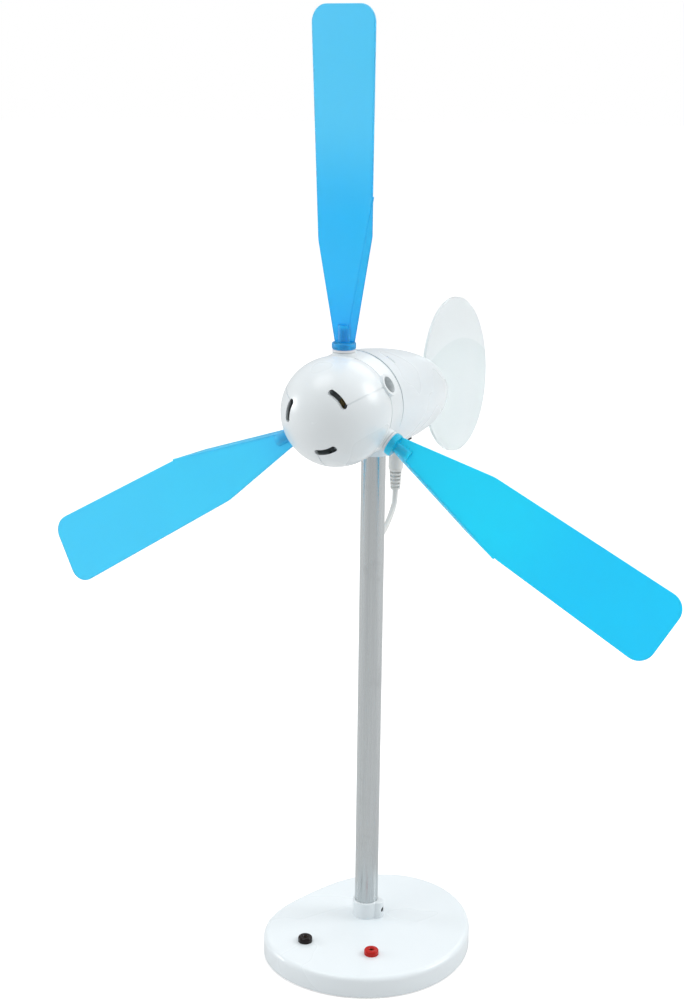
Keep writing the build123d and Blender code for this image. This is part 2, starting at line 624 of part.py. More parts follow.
with BuildPart() as nacelle_shell:
    add(nacelle_outside.part)
    add(nacelle_cavity.part, mode=Mode.SUBTRACT)
    with BuildSketch(Plane.XY.offset(NECK_BOTTOM)):
        Circle(BUSH_R + SEAT_CLEARANCE)
    extrude(amount=BUSH_TOP - NECK_BOTTOM, mode=Mode.SUBTRACT)
    with BuildSketch(Plane.XY.offset(JACK_FACE)):
        with Locations((0, JACK_Y)):
            Circle(TIP_R + JACK_TIP_GAP)
    extrude(amount=JACK_BODY_BOTTOM - JACK_FACE, mode=Mode.SUBTRACT)
    with BuildSketch(SIDE_PLANE.offset(-NACELLE_R)):
        with Locations(NACELLE_SCREWS):
            Circle(SCREW_HEAD_R + HEAD_GAP)
    extrude(amount=NACELLE_R - SCREW_HEAD_X + SCREW_HEAD_HEIGHT, mode=Mode.SUBTRACT)
    with BuildSketch(SIDE_PLANE.offset(-NACELLE_R)):
        with Locations(NACELLE_SCREWS):
            Circle(CASE_SCREW_R + SEAT_CLEARANCE)
    extrude(amount=NACELLE_R + SCREW_REACH + SCREW_HOLE_SPARE, mode=Mode.SUBTRACT)
    tab_front, tab_low, tab_high = VANE_TAB
    with BuildSketch(SIDE_PLANE.offset(-VANE_THICKNESS / 2 - RUN_CLEARANCE)):
        with Locations((tab_front, tab_low - RUN_CLEARANCE)):
            Rectangle(VANE_SLOT_LENGTH, tab_high - tab_low + 2 * RUN_CLEARANCE,
                      align=(Align.MIN, Align.MIN))
    extrude(amount=VANE_THICKNESS + 2 * RUN_CLEARANCE, mode=Mode.SUBTRACT)
    for side in (-1, 1):
        slit_clock = clock(side * SLIT_CLOCK)
        slit_middle = Vector(0, SLIT_Y, NACELLE_FRONT_Z - (SLIT_Y - NACELLE_FRONT) * tan(droop))
        slit_centre = slit_middle + slit_clock * NACELLE_R
        with BuildSketch(Plane(origin=slit_centre, x_dir=(0, 1, 0), z_dir=slit_clock)):
            SlotOverall(SLIT_LENGTH, SLIT_WIDTH, rotation=90)
        extrude(amount=SLIT_DEPTH, both=True, mode=Mode.SUBTRACT)
    with BuildSketch(jack_screw_seat):
        Circle(JACK_SCREW_R + SEAT_CLEARANCE)
    extrude(amount=-2 * JACK_SCREW_BOSS, mode=Mode.SUBTRACT)
    with BuildSketch(jack_screw_seat):
        Circle(JACK_SCREW_HEAD_R + HEAD_GAP)
    extrude(amount=JACK_SCREW_INSET + PASS, mode=Mode.SUBTRACT)

for label, keep in (("nacelle_right", Keep.TOP), ("nacelle_left", Keep.BOTTOM)):
    with BuildPart() as half_shell:
        add(nacelle_shell.part)
        split(bisect_by=Plane.YZ, keep=keep)
    finish(half_shell, label)

# ---------------------------------------------------------------- inside the nacelle
with BuildPart() as nacelle_screws:
    with BuildSketch(SIDE_PLANE.offset(-SCREW_HEAD_X)):
        with Locations(NACELLE_SCREWS):
            Circle(SCREW_HEAD_R)
    extrude(amount=SCREW_HEAD_HEIGHT)
    with BuildSketch(SIDE_PLANE.offset(-SCREW_HEAD_X)):
        with Locations(NACELLE_SCREWS):
            cross_recess()
    extrude(amount=CROSS_DEPTH, mode=Mode.SUBTRACT)
    with BuildSketch(SIDE_PLANE.offset(-SCREW_HEAD_X + SCREW_HEAD_HEIGHT)):
        with Locations(NACELLE_SCREWS):
            Circle(CASE_SCREW_R)
    extrude(amount=SCREW_HEAD_X - SCREW_HEAD_HEIGHT + SCREW_REACH)
finish(nacelle_screws, "nacelle_screws")

with BuildPart() as yaw_bush:
    with BuildSketch(Plane.XY.offset(NECK_BOTTOM)):
        Circle(BUSH_R)
    extrude(amount=BUSH_TOP - NECK_BOTTOM)
    with BuildSketch(Plane.XY.offset(NECK_BOTTOM)):
        Circle(MAST_R + RUN_CLEARANCE)
    extrude(amount=MAST_TOP + RUN_CLEARANCE - NECK_BOTTOM, mode=Mode.SUBTRACT)
finish(yaw_bush, "yaw_bush")

front_plane = Plane(origin=(0, BULKHEAD_FRONT, ROTOR_Z), x_dir=(1, 0, 0), z_dir=(0, -1, 0))
generator_screw_places = [(-GENERATOR_SCREW_X, 0), (GENERATOR_SCREW_X, 0)]
with BuildPart() as nacelle_bulkhead:
    with BuildSketch(front_plane):
        Circle(BULKHEAD_R)
        Circle(CAN_BOSS_R + HEAD_GAP, mode=Mode.SUBTRACT)
    extrude(amount=-BULKHEAD_THICKNESS)
    with BuildSketch(front_plane):
        with Locations(generator_screw_places):
            Circle(SMALL_SCREW_R + SEAT_CLEARANCE)
    extrude(amount=-BULKHEAD_THICKNESS, mode=Mode.SUBTRACT)
    with BuildSketch(front_plane):
        with Locations(generator_screw_places):
            Circle(SMALL_HEAD_R + HEAD_GAP)
    extrude(amount=-BULKHEAD_SCREW_SEAT, mode=Mode.SUBTRACT)
finish(nacelle_bulkhead, "nacelle_bulkhead")

with BuildPart() as generator_screws:
    with BuildSketch(front_plane.offset(-GENERATOR_SCREW_SUNK)):
        with Locations(generator_screw_places):
            Circle(SMALL_HEAD_R)
    extrude(amount=-GENERATOR_SCREW_HEAD)
    with BuildSketch(front_plane.offset(-GENERATOR_SCREW_SUNK)):
        with Locations(generator_screw_places):
            Rectangle(CROSS_LENGTH, CROSS_WIDTH)
    extrude(amount=-CROSS_DEPTH, mode=Mode.SUBTRACT)
    with BuildSketch(front_plane.offset(-BULKHEAD_SCREW_SEAT)):
        with Locations(generator_screw_places):
            Circle(SMALL_SCREW_R)
    extrude(amount=-BULKHEAD_THICKNESS)
finish(generator_screws, "generator_screws")

can_plane = Plane(origin=(0, CAN_FRONT, ROTOR_Z), x_dir=(1, 0, 0), z_dir=(0, -1, 0))
with BuildPart() as generator_can:
    with BuildSketch(can_plane):
        Circle(CAN_R)
    extrude(amount=-CAN_LENGTH)
    with BuildSketch(can_plane):
        Circle(CAN_BOSS_R)
    extrude(amount=CAN_BOSS_LENGTH)
    with BuildSketch(can_plane.offset(-CAN_FACE)):
        Circle(CAN_R - CAN_WALL)
    extrude(amount=-CAN_LENGTH, mode=Mode.SUBTRACT)
    with BuildSketch(can_plane):
        Circle(BEARING_R + SEAT_CLEARANCE)
        with Locations(generator_screw_places):
            Circle(SMALL_SCREW_R + SEAT_CLEARANCE)
    extrude(amount=CAN_FACE + PASS, both=True, mode=Mode.SUBTRACT)
finish(generator_can, "generator_can")

with BuildPart() as generator_bearing:
    with BuildSketch(can_plane.offset(CAN_BOSS_LENGTH)):
        Circle(BEARING_R)
        Circle(SHAFT_R + RUN_CLEARANCE, mode=Mode.SUBTRACT)
    extrude(amount=-BEARING_LENGTH)
finish(generator_bearing, "generator_bearing")

with BuildPart() as generator_magnets:
    with BuildSketch(can_plane.offset(-CAN_FACE - MAGNET_INSET)):
        Circle(CAN_R - CAN_WALL - SEAT_CLEARANCE)
        Circle(ARMATURE_R + MAGNET_GAP, mode=Mode.SUBTRACT)
        Rectangle(MAGNET_PARTING, 2 * CAN_R, mode=Mode.SUBTRACT)
    extrude(amount=-MAGNET_LENGTH)
finish(generator_magnets, "generator_magnets")

cap_plane = can_plane.offset(-CAN_LENGTH)
terminal_places = [(-TERMINAL_X, 0), (TERMINAL_X, 0)]
with BuildPart() as generator_end_cap:
    with BuildSketch(cap_plane):
        Circle(CAN_R)
    extrude(amount=-CAP_THICKNESS)
    with BuildSketch(cap_plane):
        Circle(CAN_R - CAN_WALL - SEAT_CLEARANCE)
        Circle(CAN_R - CAN_WALL - CAP_SPIGOT_WALL, mode=Mode.SUBTRACT)
    extrude(amount=CAP_SPIGOT)
    with BuildSketch(cap_plane):
        Circle(SHAFT_R + RUN_CLEARANCE)
        with Locations(terminal_places):
            Rectangle(TERMINAL_SECTION[0] + HEAD_GAP, TERMINAL_SECTION[1] + HEAD_GAP)
    extrude(amount=CAP_SPIGOT + PASS, both=True, mode=Mode.SUBTRACT)
finish(generator_end_cap, "generator_end_cap")

with BuildPart() as generator_terminals:
    with BuildSketch(cap_plane):
        with Locations(terminal_places):
            Rectangle(*TERMINAL_SECTION)
    extrude(amount=-TERMINAL_LENGTH)
finish(generator_terminals, "generator_terminals")

arm_plane = jack_screw_seat.offset(-JACK_SCREW_BOSS - JACK_ARM_THICKNESS)
jack_middle = Vector(0, JACK_Y, JACK_BODY_BOTTOM + JACK_BODY[2] / 2)
arm_run = jack_middle - arm_plane.origin
with BuildPart() as power_jack:
    with BuildSketch(Plane.XY.offset(JACK_BODY_BOTTOM)):
        with Locations((0, JACK_Y)):
            RectangleRounded(JACK_BODY[0], JACK_BODY[1], JACK_BODY_ROUND)
    extrude(amount=JACK_BODY[2])
    with BuildSketch(arm_plane):
        Circle(JACK_SCREW_BOSS_R)
    extrude(amount=JACK_ARM_THICKNESS)
    with BuildSketch(Plane(origin=arm_plane.origin, z_dir=arm_run.normalized())):
        Rectangle(JACK_ARM_WIDTH, JACK_ARM_WIDTH)
    extrude(amount=arm_run.length)
    with BuildSketch(Plane.XY.offset(JACK_BODY_BOTTOM)):
        with Locations((0, JACK_Y)):
            Circle(TIP_R + SEAT_CLEARANCE)
    extrude(amount=JACK_BODY[2] - JACK_END_WALL, mode=Mode.SUBTRACT)
    with BuildSketch(arm_plane.offset(JACK_ARM_THICKNESS)):
        Circle(JACK_SCREW_R + SEAT_CLEARANCE)
    extrude(amount=-JACK_ARM_THICKNESS, mode=Mode.SUBTRACT)
finish(power_jack, "power_jack")

with BuildPart() as jack_screw:
    with BuildSketch(jack_screw_seat):
        Circle(JACK_SCREW_R)
    extrude(amount=-JACK_SCREW_BOSS - JACK_ARM_THICKNESS + JACK_SCREW_SPARE)
    with BuildSketch(jack_screw_seat):
        Circle(JACK_SCREW_HEAD_R)
    extrude(amount=JACK_SCREW_HEAD)
    head_axis = Axis(jack_screw_middle, jack_screw_out)
    fillet(jack_screw.faces().sort_by(head_axis)[-1].edges(), radius=JACK_SCREW_HEAD / 3)
finish(jack_screw, "jack_screw")

with BuildPart() as generator_wires:
    jack_top = JACK_BODY_BOTTOM + JACK_BODY[2]
    wire_start = CAN_BACK + TERMINAL_LENGTH + WIRE_END_GAP
    for side in (-1, 1):
        wire_route = [
            (TERMINAL_X * side, wire_start, ROTOR_Z),
            (TERMINAL_X * side, wire_start + 6.0, ROTOR_Z - 0.7),
            (4.5 * side, JACK_Y - 2.5, jack_top + 9.4),
            (2.0 * side, JACK_Y, jack_top + 4.7),
            (2.0 * side, JACK_Y, jack_top),
        ]
        add(tube_along(wire_route, WIRE_R, "generator_wire").part)
finish(generator_wires, "generator_wires")

# ---------------------------------------------------------------- tail vane
with BuildPart() as tail_vane:
    with BuildSketch(SIDE_PLANE.offset(-VANE_THICKNESS / 2)):
        with Locations(VANE_CENTRE):
            Ellipse(VANE_LONG, VANE_SHORT, rotation=-VANE_SLOPE)
        with Locations((tab_front, tab_low)):
            Rectangle(VANE_CENTRE[0] - tab_front, tab_high - tab_low, align=(Align.MIN, Align.MIN))
    extrude(amount=VANE_THICKNESS)
    fillet(tail_vane.edges().filter_by(Plane.YZ), radius=VANE_EDGE_ROUND)
    with BuildSketch(SIDE_PLANE.offset(-VANE_THICKNESS)):
        with Locations(NACELLE_SCREWS[-1]):
            Circle(CASE_SCREW_R + SEAT_CLEARANCE)
    extrude(amount=2 * VANE_THICKNESS, mode=Mode.SUBTRACT)
finish(tail_vane, "tail_vane")

# ---------------------------------------------------------------- lead
with BuildPart() as lead_plug:
    with BuildSketch(Plane.YZ):
        with BuildLine():
            Polyline(
                (JACK_Y, RELIEF_BOTTOM),
                (JACK_Y + RELIEF_BOTTOM_R, RELIEF_BOTTOM),
                (JACK_Y + RELIEF_TOP_R, PLUG_SHOULDER - PLUG_SLOPE),
                (JACK_Y + PLUG_R, PLUG_SHOULDER),
                (JACK_Y + PLUG_R, PLUG_TOP),
                (JACK_Y, PLUG_TOP),
                close=True,
            )
        make_face()
    revolve(axis=Axis((0, JACK_Y, 0), (0, 0, 1)))
    top_edges = lead_plug.edges().filter_by(GeomType.CIRCLE).group_by(Axis.Z)[-1]
    fillet(top_edges, radius=PLUG_EDGE_ROUND)
    for slit in range(RELIEF_SLITS):
        slit_z = RELIEF_BOTTOM + RELIEF_SLIT_START + slit * RELIEF_SLIT_PITCH
        with BuildSketch(Plane.XY.offset(slit_z)):
            with Locations((0, JACK_Y)):
                Circle(PLUG_R)
                Circle(LEAD_R + RELIEF_CORE, mode=Mode.SUBTRACT)
                Rectangle(2 * PLUG_R, RELIEF_BRIDGE, mode=Mode.SUBTRACT)
        extrude(amount=RELIEF_SLIT_WIDTH, mode=Mode.SUBTRACT)
finish(lead_plug, "lead_plug")

with BuildPart() as plug_tip:
    with BuildSketch(Plane.XY.offset(PLUG_TOP)):
        with Locations((0, JACK_Y)):
            Circle(TIP_R)
    extrude(amount=TIP_LENGTH)
    fillet(plug_tip.edges().group_by(Axis.Z)[-1], radius=TIP_END_ROUND)
finish(plug_tip, "plug_tip")

lead_route = [
    (0, JACK_Y, RELIEF_BOTTOM),
    (0, JACK_Y, RELIEF_BOTTOM - 4.9),
    (0, JACK_Y - 2.1, RELIEF_BOTTOM - 9.4),
    (0, JACK_Y - 9.0, RELIEF_BOTTOM - 15.2),
    (0, JACK_Y - 16.3, RELIEF_BOTTOM - 19.3),
    (0, MAST_R + GROMMET_PROUD, GROMMET_Z),
]
generator_lead = tube_along(lead_route, LEAD_R, "generator_lead")
finish(generator_lead, "generator_lead")

# ---------------------------------------------------------------- rotor
with BuildPart() as generator_shaft:
    with BuildSketch(HUB_FACE_PLANE.offset(-SHAFT_FRONT)):
        Circle(SHAFT_R)
    extrude(amount=-(CAN_BACK + SHAFT_TAIL - ROTOR_Y - SHAFT_FRONT))
finish(generator_shaft, "generator_shaft")

core_plane = can_plane.offset(-CAN_FACE - ARMATURE_INSET)
with BuildPart() as armature_core:
    with BuildSketch(core_plane):
        Circle(ARMATURE_R)
        Circle(SHAFT_R + PRESS_GAP, mode=Mode.SUBTRACT)
        with PolarLocations(ARMATURE_R, ARMATURE_SLOTS):
            Rectangle(ARMATURE_SLOT[0], ARMATURE_SLOT[1], mode=Mode.SUBTRACT)
        with PolarLocations(ARMATURE_WINDOW_R, ARMATURE_SLOTS):
            Rectangle(ARMATURE_WINDOW[0], ARMATURE_WINDOW[1], mode=Mode.SUBTRACT)
    extrude(amount=-ARMATURE_LENGTH)
finish(armature_core, "armature_core")

with BuildPart() as commutator:
    with BuildSketch(core_plane.offset(-ARMATURE_LENGTH)):
        Circle(COMMUTATOR_R)
        Circle(SHAFT_R + PRESS_GAP, mode=Mode.SUBTRACT)
    extrude(amount=-COMMUTATOR_LENGTH)
finish(commutator, "commutator")

with BuildPart() as hub_insert:
    with BuildSketch(HUB_FACE_PLANE.offset(-SHAFT_FRONT)):
        RegularPolygon(INSERT_AF / 2, 6, major_radius=False)
        Circle(SHAFT_R + PRESS_GAP, mode=Mode.SUBTRACT)
    extrude(amount=-(HUB_DEPTH - SHAFT_FRONT + INSERT_PROUD))
finish(hub_insert, "hub_insert")

hub_screw_places = []
for angle in HUB_SCREW_CLOCKS:
    a = radians(angle)
    hub_screw_places.append((HUB_SCREW_PCR * sin(a), HUB_SCREW_PCR * cos(a)))


def socket_rods(radius, start, end):
    """Six radial rods, one for each blade position, from radius start to end of the rotor."""
    with BuildPart() as rods:
        for angle in range(0, 360, 60):
            out = clock(angle)
            with BuildSketch(Plane(origin=HUB_CENTRE + out * start, z_dir=out)):
                Circle(radius)
            extrude(amount=end - start)
    return rods.part


socket_tubes = socket_rods(SOCKET_TUBE_R, SOCKET_TUBE_IN, SOCKET_TUBE_OUT)
socket_bores = socket_rods(SOCKET_BORE_R, SOCKET_TUBE_IN - PASS, SOCKET_TUBE_OUT + PASS)

with BuildPart() as hub_back:
    with BuildSketch(HUB_PROFILE_PLANE):
        with BuildLine():
            Polyline(
                (SEAM_R - HUB_WALL, 0),
                (SEAM_R - SEAM_GROOVE_DEPTH, 0),
                (SEAM_R - SEAM_GROOVE_DEPTH, -SEAM_GROOVE_WIDTH),
                (SEAM_R, -SEAM_GROOVE_WIDTH),
                (HUB_REAR_R, -HUB_DEPTH),
                (INSERT_AF / 2, -HUB_DEPTH),
                (INSERT_AF / 2, -SHAFT_FRONT),
                (INSERT_AF / 2 + INSERT_WALL, -SHAFT_FRONT),
                (INSERT_AF / 2 + INSERT_WALL, HUB_WALL - HUB_DEPTH),
                (HUB_REAR_R - HUB_WALL, HUB_WALL - HUB_DEPTH),
                close=True,
            )
        make_face()
    revolve(axis=ROTOR_AXIS)
    rear_edges = hub_back.edges().filter_by(GeomType.CIRCLE).group_by(Axis.Y)[-1]
    fillet(rear_edges.sort_by(SortBy.RADIUS)[-1], radius=HUB_REAR_ROUND)
    add(socket_tubes)
    with BuildSketch(HUB_FACE_PLANE.offset(BLEND - HUB_DEPTH)):
        with Locations(hub_screw_places):
            Circle(HUB_BOSS_R)
    extrude(amount=HUB_DEPTH - BLEND)
    split(bisect_by=HUB_FACE_PLANE, keep=Keep.BOTTOM)
    add(socket_bores, mode=Mode.SUBTRACT)
    with BuildSketch(HUB_FACE_PLANE):
        RegularPolygon(INSERT_AF / 2 + PRESS_GAP, 6, major_radius=False)
        with Locations(hub_screw_places):
            Circle(SMALL_SCREW_R + SEAT_CLEARANCE)
    extrude(amount=-HUB_DEPTH, mode=Mode.SUBTRACT)
    with BuildSketch(HUB_FACE_PLANE.offset(-HUB_DEPTH)):
        with Locations(hub_screw_places):
            Circle(SMALL_HEAD_R + HEAD_GAP)
    extrude(amount=HUB_SCREW_SEAT, mode=Mode.SUBTRACT)
finish(hub_back, "hub_back")

with BuildPart() as creases:
    for angle in (60, 180, 300):
        out = clock(angle)
        with BuildSketch(Plane(origin=HUB_CENTRE, x_dir=out, z_dir=out.cross(NOSE))):
            with Locations((CREASE_INNER, SOCKET_TUBE_R)):
                Rectangle(DOME_R, DOME_R, align=(Align.MIN, Align.MIN))
        extrude(amount=CREASE_WIDTH / 2, both=True)
    with Locations(HUB_CENTRE + NOSE * DOME_FORWARD):
        Sphere(DOME_R - CREASE_DEPTH, mode=Mode.SUBTRACT)

dome_at_boss = (DOME_R**2 - (HUB_SCREW_PCR + HUB_BOSS_R) ** 2) ** 0.5
boss_front = DOME_FORWARD + dome_at_boss - HUB_WALL / 2
with BuildPart() as hub_front:
    with BuildSketch(HUB_PROFILE_PLANE):
        with BuildLine():
            outer = CenterArc((0, DOME_FORWARD), DOME_R, 90, -110)
            inner = CenterArc((0, DOME_FORWARD), DOME_R - HUB_WALL, 90, -111)
            Line(outer @ 0, inner @ 0)
            Line(outer @ 1, inner @ 1)
        make_face()
    revolve(axis=ROTOR_AXIS)
    add(socket_tubes)
    with BuildSketch(HUB_FACE_PLANE):
        with Locations(hub_screw_places):
            Circle(HUB_BOSS_R)
    extrude(amount=boss_front)
    split(bisect_by=HUB_FACE_PLANE, keep=Keep.TOP)
    add(socket_bores, mode=Mode.SUBTRACT)
    with BuildSketch(HUB_FACE_PLANE):
        with Locations(hub_screw_places):
            Circle(SMALL_SCREW_R + SEAT_CLEARANCE)
    extrude(amount=HUB_SCREW_REACH + SCREW_HOLE_SPARE, mode=Mode.SUBTRACT)
    with BuildSketch(HUB_FACE_PLANE.offset(DOME_FORWARD)):
        for third in range(3):
            middle = 90 - DOME_SLOT_CLOCK - 120 * third
            with BuildLine(mode=Mode.PRIVATE) as slot_line:
                CenterArc((0, 0), DOME_SLOT_RADIUS, middle - DOME_SLOT_ARC / 2, DOME_SLOT_ARC)
            SlotArc(slot_line.edge(), DOME_SLOT_WIDTH)
    extrude(amount=DOME_R, mode=Mode.SUBTRACT)
    add(creases.part, mode=Mode.SUBTRACT)
finish(hub_front, "hub_front")

with BuildPart() as hub_screws:
    with BuildSketch(HUB_FACE_PLANE.offset(HUB_SCREW_SUNK - HUB_DEPTH)):
        with Locations(hub_screw_places):
            Circle(SMALL_HEAD_R)
    extrude(amount=HUB_SCREW_SEAT - HUB_SCREW_SUNK)
    with BuildSketch(HUB_FACE_PLANE.offset(HUB_SCREW_SUNK - HUB_DEPTH)):
        with Locations(hub_screw_places):
            cross_recess()
    extrude(amount=CROSS_DEPTH, mode=Mode.SUBTRACT)
    with BuildSketch(HUB_FACE_PLANE.offset(HUB_SCREW_SEAT - HUB_DEPTH)):
        with Locations(hub_screw_places):
            Circle(SMALL_SCREW_R)
    extrude(amount=HUB_DEPTH - HUB_SCREW_SEAT + HUB_SCREW_REACH)
finish(hub_screws, "hub_screws")

# ---------------------------------------------------------------- blades
for place, (blade_clock, pitch) in BLADES.items():
    radial = clock(blade_clock)
    forward = clock(blade_clock + 90)
    beta = radians(pitch)
    chord = forward * cos(beta) + NOSE * sin(beta)
    blade_plane = Plane(origin=HUB_CENTRE, x_dir=chord, z_dir=NOSE * cos(beta) - forward * sin(beta))
    spin_axis = Axis(HUB_CENTRE, radial)

    with BuildPart() as blade_holder:
        with BuildSketch(blade_plane):
            with BuildLine():
                Polyline(
                    (0, HOLDER_HEAD_FACE - HOLDER_HEAD_LENGTH),
                    (SOCKET_TUBE_R, HOLDER_HEAD_FACE - HOLDER_HEAD_LENGTH),
                    (SOCKET_TUBE_R, HOLDER_HEAD_FACE),
                    (SOCKET_BORE_R - RUN_CLEARANCE, HOLDER_HEAD_FACE),
                    (SOCKET_BORE_R - RUN_CLEARANCE, HOLDER_FACE),
                    (SOCKET_TUBE_R, HOLDER_FACE),
                    (SOCKET_TUBE_R, COLLAR_FACE),
                    (SPIGOT_R, COLLAR_FACE),
                    (SPIGOT_R, COLLAR_FACE + SPIGOT_LENGTH),
                    (0, COLLAR_FACE + SPIGOT_LENGTH),
                    close=True,
                )
            make_face()
        revolve(axis=spin_axis)
    finish(blade_holder, f"blade_holder_{place}")

    flange_start = blade_plane.from_local_coords(Vector(*CREASE_START, 0))
    crease = blade_plane.from_local_coords(Vector(*CREASE_END, 0)) - flange_start
    fold = radians(FLANGE_FOLD)
    outward = crease.normalized().cross(blade_plane.z_dir)
    flange_down = outward * cos(fold) - blade_plane.z_dir * sin(fold)
    flange_plane = Plane(origin=flange_start, x_dir=crease, z_dir=crease.cross(flange_down))
    with BuildPart() as blade:
        with BuildSketch(blade_plane.offset(-BLADE_THICKNESS / 2)) as outline:
            with BuildLine():
                Polyline(
                    (BLADE_ROOT_TRAIL, BLADE_ROOT),
                    (BLADE_SHOULDER_TRAIL, BLADE_SHOULDER),
                    (BLADE_TIP_TRAIL, BLADE_TIP),
                    (BLADE_TIP_LEAD, BLADE_TIP),
                    CREASE_END,
                    CREASE_START,
                    close=True,
                )
            make_face()
            fillet(outline.vertices().sort_by(Axis.Y)[-2:], radius=TIP_ROUND)
            fillet(outline.vertices().sort_by(Axis.Y)[2:4], radius=SHOULDER_ROUND)
        extrude(amount=BLADE_THICKNESS)
        fillet(blade.faces().filter_by(blade_plane).edges(), radius=BLADE_EDGE_ROUND)
        with BuildSketch(flange_plane.offset(-FLANGE_THICKNESS / 2)):
            with BuildLine():
                Polyline(
                    (0, 0),
                    (0, FLANGE_WIDTH),
                    (FLANGE_STRAIGHT * crease.length, FLANGE_END_WIDTH),
                    (crease.length, 0),
                    close=True,
                )
            make_face()
        extrude(amount=FLANGE_THICKNESS)
        with BuildSketch(Plane(origin=flange_start, z_dir=crease)):
            Circle(BLADE_THICKNESS / 2)
        extrude(amount=crease.length)
        with BuildSketch(blade_plane) as collar:
            with Locations((0, COLLAR_FACE)):
                Rectangle(COLLAR_BLADE_R, COLLAR_BLADE_LENGTH, align=(Align.MIN, Align.MIN))
            fillet(collar.vertices().sort_by(Axis.X)[-2:], radius=COLLAR_ROUND)
        revolve(axis=spin_axis)
        with BuildSketch(Plane(origin=HUB_CENTRE + radial * COLLAR_FACE, z_dir=radial)):
            Circle(BLADE_BOSS_R)
        extrude(amount=BLADE_BOSS_END - COLLAR_FACE)
        with BuildSketch(Plane(origin=HUB_CENTRE + radial * COLLAR_FACE, z_dir=radial)):
            Circle(SPIGOT_R + SEAT_CLEARANCE)
        extrude(amount=SPIGOT_LENGTH + SPIGOT_END_GAP, mode=Mode.SUBTRACT)
    finish(blade, f"blade_{place}")
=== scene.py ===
"""Looks of the desk-top model wind turbine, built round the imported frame. Metres, +Z up."""
import json
from math import cos, radians, sin

import bmesh
import bpy
from mathutils import Matrix, Vector


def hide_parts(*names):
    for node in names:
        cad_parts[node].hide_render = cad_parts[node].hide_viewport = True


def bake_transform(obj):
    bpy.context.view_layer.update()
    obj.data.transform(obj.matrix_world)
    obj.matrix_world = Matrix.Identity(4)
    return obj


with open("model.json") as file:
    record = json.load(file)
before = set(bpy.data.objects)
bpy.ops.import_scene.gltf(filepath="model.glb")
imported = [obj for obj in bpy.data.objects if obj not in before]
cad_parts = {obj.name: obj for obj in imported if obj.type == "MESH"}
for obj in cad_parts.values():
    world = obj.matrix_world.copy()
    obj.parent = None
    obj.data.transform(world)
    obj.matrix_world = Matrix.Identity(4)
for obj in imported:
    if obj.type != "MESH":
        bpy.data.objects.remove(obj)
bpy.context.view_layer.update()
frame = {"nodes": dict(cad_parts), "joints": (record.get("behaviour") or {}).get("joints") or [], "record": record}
NODES = frame["nodes"]

# ---------------------------------------------------------------- places, from the frame
JOINTS = {joint["name"]: joint for joint in frame["joints"]}
HUB = Vector(JOINTS["rotor_spin"]["pos_m"])

LEAD_RADIUS = 0.0014
LEAD_STEPS = 14  # fineness along the route
LEAD_RING = 7  # fineness round its section
LEAD_ROUTE = [
    (0.0, 0.0072, 0.2162),
    (0.0, 0.0132, 0.2167),
    (0.0, 0.0205, 0.2208),
    (0.0, 0.0274, 0.2266),
    (0.0, 0.0295, 0.2311),
    (0.0, 0.0295, 0.2360),
]

# ---------------------------------------------------------------- strength of each effect
COAT_ROUGHNESS = 0.2
GRAIN_SHARE = 0.12  # height of the fine grain against that of the slow wave
WAVE_SCALE = 16.0
SMUDGE_FROM, SMUDGE_TO = 0.35, 0.70  # noise from clean to fully smudged
SMUDGE_ROUGHENS = 0.10
LINE_STRETCH = 0.012  # drawn lines vary this much more slowly along Z
LINE_FROM, LINE_TO = 0.3, 0.7
LINE_ROUGHENS = 0.10
MARK_FROM, MARK_TO = 0.55, 0.72

ROOT_NEAR, ROOT_FAR = 0.030, 0.062  # a blade's root colour fades out between these reaches
TIP_NEAR, TIP_FAR = 0.085, 0.135  # and its tip colour fades in between these
BLADE_SMUDGE = (0.88, 0.96, 0.98)
BLADE_ROUGHNESS = 0.34
SHEET_SMUDGE = (0.92, 0.95, 0.96)
SMUDGE_SHARE = 0.3  # how far a full smudge tints a clear moulding
CLEAR_DEPTH = 0.00002
ARC_CENTRE = (0.0, 0.1089, 0.1924)  # the vane is darker in tone and rougher inside this wide arc
ARC_NEAR, ARC_FAR = 0.1066, 0.1074
FROST_INSIDE, FROST_OUTSIDE = 0.55, 0.42  # roughness on the two sides of the arc


# ---------------------------------------------------------------- node helpers
def link(tree, start, end):
    tree.links.new(start, end)


def group_shell(name, inputs, outputs):
    """Empty node group with float inputs (name: default) and typed outputs (name: type)."""
    tree = bpy.data.node_groups.new(name, "ShaderNodeTree")
    tree.interface.new_socket("Vector", in_out="INPUT", socket_type="NodeSocketVector")
    for label, value in inputs.items():
        socket = tree.interface.new_socket(label, in_out="INPUT", socket_type="NodeSocketFloat")
        socket.default_value = value
    for label, kind in outputs.items():
        tree.interface.new_socket(label, in_out="OUTPUT", socket_type=kind)
    return tree, tree.nodes.new("NodeGroupInput"), tree.nodes.new("NodeGroupOutput")


def noise(tree, scale, detail=3.0, roughness=0.5):
    node = tree.nodes.new("ShaderNodeTexNoise")
    node.inputs["Scale"].default_value = scale
    node.inputs["Detail"].default_value = detail
    node.inputs["Roughness"].default_value = roughness
    return node


def remap(tree, value, low, high, new_low, new_high):
    node = tree.nodes.new("ShaderNodeMapRange")
    node.clamp = True
    limits = {"From Min": low, "From Max": high, "To Min": new_low, "To Max": new_high}
    for label, number in limits.items():
        node.inputs[label].default_value = number
    link(tree, value, node.inputs["Value"])
    return node.outputs["Result"]


